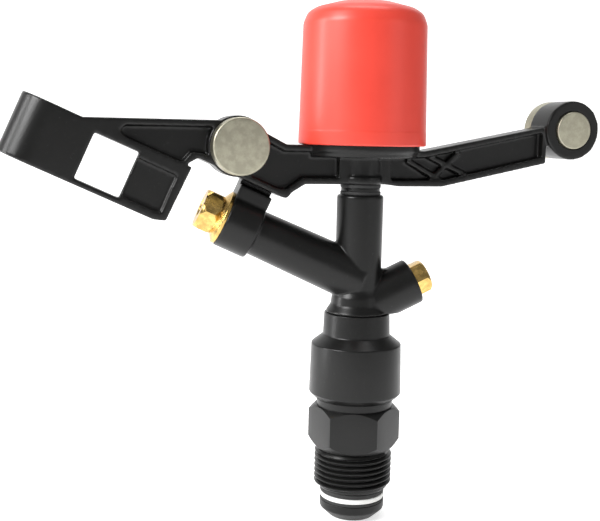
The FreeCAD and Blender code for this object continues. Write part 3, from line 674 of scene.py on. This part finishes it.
class SPRINKLER_OT_nozzles(bpy.types.Operator):
    """The brass main nozzle and the brass rear nozzle"""
    bl_idname = "sprinkler.nozzles"
    bl_label = "Brass nozzles"

    def execute(self, context):
        size = context.scene.sprinkler_branches
        base, rear = size.jet_length / MM, size.rear_length / MM
        flange = lathe("main_nozzle_flange", [
            (4.4, base - 9.5), (6.0, base - 9.5), (6.0, base + 0.02), (9.0, base + 0.02, 0.2),
            (9.0, base + 1.0, 0.3),
            (6.5, base + 2.5, 0.5), (6.3, base + 2.8), (2.8, base + 2.8)], closed=True)
        corner = JET_HEX / math.sqrt(3)
        tip = base + 8.5
        grip = hex_bar("main_nozzle_grip", JET_HEX, base + 2.6, tip, [
            (0, base + 2.6), (corner - 0.9, base + 2.6), (corner + 0.05, base + 4.0),
            (corner + 0.05, tip - 1.8),
            (corner - 1.0, tip), (0, tip)], math.radians(30), 0.22)
        self.drill(grip, 2.8, base - 1, tip + 1)
        nozzle = on_jet(joined("main_nozzle_brass", [flange, grip]))
        finish_piece(nozzle, "head", "brass_turned", "jet_brass", "main_nozzle")
        corner = REAR_HEX / math.sqrt(3)
        tip = rear + 5.2
        plug = hex_bar("rear_nozzle_brass", REAR_HEX, rear + 0.02, tip, [
            (0, rear), (corner - 0.3, rear), (corner + 0.05, rear + 0.4), (corner + 0.05, tip - 1.3),
            (corner - 0.8, tip - 0.35, 0.8), (corner - 1.5, tip, 0.5), (0, tip)], math.radians(30), 0.2)
        self.drill(plug, 1.6, rear - 1, tip + 1)
        thread = lathe("rear_nozzle_thread", [
            (1.6, rear - 7), (4.2, rear - 7), (4.2, rear + 0.5), (1.6, rear + 0.5)], closed=True)
        plug = on_rear(joined("rear_nozzle_brass", [plug, thread]))
        finish_piece(plug, "head", "brass_turned", "rear_brass", "rear_nozzle")
        return {"FINISHED"}

    def drill(self, piece, radius, z0, z1):
        """Bore a hole with a countersunk mouth."""
        drill = lathe("drill", [
            (0, z0), (radius, z0), (radius, z1 - 1.5), (radius + 1.2, z1), (0, z1)])
        apply_modifier(piece, "BOOLEAN", operation="DIFFERENCE", object=drill, solver="EXACT")
        bpy.data.objects.remove(drill)
        only(piece)
        bpy.ops.object.shade_smooth_by_angle(angle=math.radians(25))


class SPRINKLER_OT_arm(bpy.types.Operator):
    """The swing arm: the moulded paddle, hub, disc and tail in one skin"""
    bl_idname = "sprinkler.arm"
    bl_label = "Swing arm"

    def execute(self, context):
        size = context.scene.sprinkler_arm
        arm = merged_copy("arm_plate", "hammer_arm")
        hub = lathe("arm_hub", [
            (4.55, HUB_Z0), (7.4, HUB_Z0, 0.3), (7.4, 92.0, 0.3), (6.8, 92.0), (6.8, DISC_Z0),
            (18.3, DISC_Z0, 0.4),
            (18.3, 100.1), (19.1, 100.1, 0.4), (19.1, DISC_TOP_Z, 0.5),
            (4.55, DISC_TOP_Z)], closed=True, steps=128)
        tail = self.collar("arm_tail", TAIL_SHANK_R + 0.05, 10.05, HALF_BOSS, 0.5)
        front = self.collar("arm_front", FRONT_SHANK_R + 0.05, 9.7, HALF_ARM, 0)
        skin = joined("swing_arm", [arm, hub, on_arm(tail, *TAIL_AT), on_arm(front, *WEIGHT_AT)])
        moulded(skin, size.voxel, 4, 0.45)
        finish_piece(skin, "arm", "black_moulding", "black", "hammer_arm")
        return {"FINISHED"}

    def collar(self, name, inner, outer, half, soften):
        """The boss round a weight, its outer edges softened."""
        return lathe(name, [
            (inner, -half), (outer, -half, soften), (outer, half, soften), (inner, half)], closed=True)


class SPRINKLER_OT_weights(bpy.types.Operator):
    """The two headed steel weights pressed into the arm"""
    bl_idname = "sprinkler.weights"
    bl_label = "Steel weights"

    def execute(self, context):
        front = lathe("front_weight_steel", [
            (0, -HALF_ARM), (FRONT_SHANK_R, -HALF_ARM, 0.3), (FRONT_SHANK_R, HALF_ARM),
            (9.15, HALF_ARM, 0.25),
            (9.15, 9.2, 0.7), (0, 9.2)], steps=128)
        finish_piece(on_arm(front, *WEIGHT_AT), "arm", "steel_weight", "front_zinc", "front_weight")
        tail = lathe("tail_weight_steel", [
            (0, -10.5), (10.0, -10.5, 0.7), (10.0, -HALF_BOSS, 0.25), (TAIL_SHANK_R, -HALF_BOSS),
            (TAIL_SHANK_R, 7.0, 0.45), (0, 7.0)], steps=128)
        finish_piece(on_arm(tail, *TAIL_AT), "arm", "steel_weight", "tail_zinc", "tail_weight")
        return {"FINISHED"}


class SPRINKLER_OT_cap(bpy.types.Operator):
    """The red bell that covers the return spring"""
    bl_idname = "sprinkler.cap"
    bl_label = "Spring cap"

    def execute(self, context):
        cap = lathe("spring_cap_bell", [
            (19.6, 102.3, 0.4), (21.1, 102.3, 0.6), (21.02, 106.6, 1.0), (20.95, 107.2, 1.0),
            (20.2, 141.2, 4.5),
            (18.9, 144.6, 3.5), (16.2, 146.3, 6.0), (9.0, 148.25, 12.0), (0, 149.05), (0, 147.2),
            (9.0, 146.4),
            (15.4, 144.5, 4.0), (18.3, 140.2, 3.0), (18.9, 134.1, 0.3), (19.6, 110)], steps=144, closed=True)
        finish_piece(cap, "head", "red_cap", "red", "spring_cap")
        return {"FINISHED"}


class SPRINKLER_OT_hub_washers(bpy.types.Operator):
    """The three washers between the post and the arm's hub"""
    bl_idname = "sprinkler.hub_washers"
    bl_label = "Hub washers"

    def execute(self, context):
        for i, (level, slot, radius) in enumerate((
                ("low", "rubber_washer", 6.7), ("mid", "black_moulding", 6.45),
                ("top", "rubber_washer", 6.7))):
            low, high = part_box("hub_washer_" + level)
            z0, z1 = low.z / MM, high.z / MM
            ring = lathe(f"hub_ring_{level}", [
                (3.1, z0), (radius, z0, 0.22), (radius, z1, 0.22), (3.1, z1)], closed=True, steps=72)
            finish_piece(ring, "head", slot, "black" if i == 1 else "rubber", "hub_washer_" + level)
        return {"FINISHED"}


class SPRINKLER_OT_inner_parts(bpy.types.Operator):
    """The finishes of the pieces inside, which keep their designed shapes"""
    bl_idname = "sprinkler.inner_parts"
    bl_label = "Inner parts"

    def execute(self, context):
        finishes = {
            "steel": ("spring_seat", "bearing_spring", "axle_pin", "arm_spring", "axle_washer", "axle_nut"),
            "rubber": ("stem_seal", "nozzle_seal", "rear_nozzle_seal"),
            "white": ("arm_top_washer",),
            "grey": ("jet_straightener",),
            "black": ("spring_anchor",),
            "jet_brass": ("arm_bush",),
        }
        for material, nodes in finishes.items():
            for node in nodes:
                paint(node, material)
        return {"FINISHED"}


class SPRINKLER_OT_stage(bpy.types.Operator):
    """Pale floor and backdrop, soft studio lights and the camera"""
    bl_idname = "sprinkler.stage"
    bl_label = "Stage"

    def execute(self, context):
        self.backdrop()
        self.lights(context)
        self.camera(context)
        return {"FINISHED"}

    def backdrop(self):
        """One sheet that runs along the floor and bends up behind."""
        ground = CAD_BOX[0].z
        deselect()
        bpy.ops.mesh.primitive_plane_add(size=4, location=(0, 0, ground))
        sheet = bpy.context.object
        sheet.name = "studio_sweep"
        bpy.ops.object.mode_set(mode="EDIT")
        bpy.ops.mesh.select_all(action="DESELECT")
        bpy.ops.object.mode_set(mode="OBJECT")
        for edge in sheet.data.edges:
            edge.select = all(sheet.data.vertices[v].co.y > 0 for v in edge.vertices)
        bpy.ops.object.mode_set(mode="EDIT")
        bpy.ops.mesh.select_mode(type="EDGE")
        bpy.ops.mesh.extrude_region_move(TRANSFORM_OT_translate={"value": (0, 0, 3)})
        bpy.ops.object.mode_set(mode="OBJECT")
        apply_modifier(sheet, "BEVEL", width=0.9, segments=24)
        settle(sheet)
        sheet.data.materials.append(floor_material())

    def lights(self, context):
        world = bpy.data.worlds.new("studio")
        world.use_nodes = True
        background = world.node_tree.nodes["Background"]
        background.inputs["Color"].default_value = (1, 1, 1, 1)
        background.inputs["Strength"].default_value = 0.30
        context.scene.world = world
        middle = (CAD_BOX[0] + CAD_BOX[1]) / 2
        for name, spot, power, width, tall in (
                ("key", (-0.85, -0.40, 0.60), 13, 0.45, 0.45),
                ("left_strip", (-0.9, 0.1, 0.15), 5, 0.15, 0.7),
                ("top", (0.05, 0.1, 1.0), 5, 0.7, 0.5),
                ("right_fill", (0.8, -0.7, 0.3), 0.8, 0.5, 0.5)):
            light = bpy.data.lights.new(name, "AREA")
            light.shape = "RECTANGLE"
            light.size, light.size_y = width, tall
            light.energy = power
            lamp = bpy.data.objects.new(name, light)
            lamp.location = middle + Vector(spot)
            lamp.rotation_euler = (middle - lamp.location).to_track_quat("-Z", "Y").to_euler()
            context.scene.collection.objects.link(lamp)

    def camera(self, context):
        azimuth, pitch, roll = math.radians(-9.5), math.radians(7.53), math.radians(-1.25)
        distance, height, aside = 0.333, 0.1078, -0.0196
        ahead = Vector((-math.sin(azimuth), math.cos(azimuth), 0))
        forward = ahead * math.cos(pitch) - Vector((0, 0, math.sin(pitch)))
        level = Vector((math.cos(azimuth), math.sin(azimuth), 0))
        upright = level.cross(forward)
        right = level * math.cos(roll) - upright * math.sin(roll)
        up = level * math.sin(roll) + upright * math.cos(roll)
        data = bpy.data.cameras.new("camera")
        data.sensor_width = 36
        data.lens = 60.03
        data.clip_start = 0.01
        camera = bpy.data.objects.new("camera", data)
        turn = Matrix((right, up, -forward)).transposed()
        where = Vector((0, 0, height)) - ahead * distance + right * aside
        camera.matrix_world = Matrix.Translation(where) @ turn.to_4x4()
        context.scene.collection.objects.link(camera)
        context.scene.camera = camera
        context.scene.view_settings.view_transform = "Standard"


class SPRINKLER_PT_panel(bpy.types.Panel):
    """The sprinkler's sizes, colours and pieces"""
    bl_idname = "SPRINKLER_PT_panel"
    bl_label = "Sprinkler"
    bl_space_type = "VIEW_3D"
    bl_region_type = "UI"
    bl_category = "Sprinkler"

    def draw(self, context):
        for group in GROUPS:
            settings = getattr(context.scene, group)
            for name in settings.bl_rna.properties.keys():
                if name not in ("rna_type", "name"):
                    self.layout.prop(settings, name)
        for operator in OPERATORS:
            self.layout.operator(operator.bl_idname)


OPERATORS = (
    SPRINKLER_OT_stage,
    SPRINKLER_OT_bearing_nut,
    SPRINKLER_OT_stem,
    SPRINKLER_OT_sleeve,
    SPRINKLER_OT_head,
    SPRINKLER_OT_nozzles,
    SPRINKLER_OT_arm,
    SPRINKLER_OT_weights,
    SPRINKLER_OT_cap,
    SPRINKLER_OT_hub_washers,
    SPRINKLER_OT_inner_parts,
)
GROUPS = {
    "sprinkler_thread": ThreadSizes,
    "sprinkler_branches": BranchSizes,
    "sprinkler_arm": ArmSizes,
    "sprinkler_finishes": Finishes,
}


def register():
    for group, kind in GROUPS.items():
        bpy.utils.register_class(kind)
        setattr(bpy.types.Scene, group, bpy.props.PointerProperty(type=kind))
    for operator in OPERATORS:
        bpy.utils.register_class(operator)
    bpy.utils.register_class(SPRINKLER_PT_panel)


def unregister():
    bpy.utils.unregister_class(SPRINKLER_PT_panel)
    for operator in reversed(OPERATORS):
        bpy.utils.unregister_class(operator)
    for group, kind in GROUPS.items():
        delattr(bpy.types.Scene, group)
        bpy.utils.unregister_class(kind)


def main():
    register()
    make_materials(bpy.context.scene.sprinkler_finishes)
    for operator in OPERATORS:
        family, call = operator.bl_idname.split(".")
        getattr(getattr(bpy.ops, family), call)()
    bpy.context.view_layer.update()


if __name__ == "__main__":
    main()
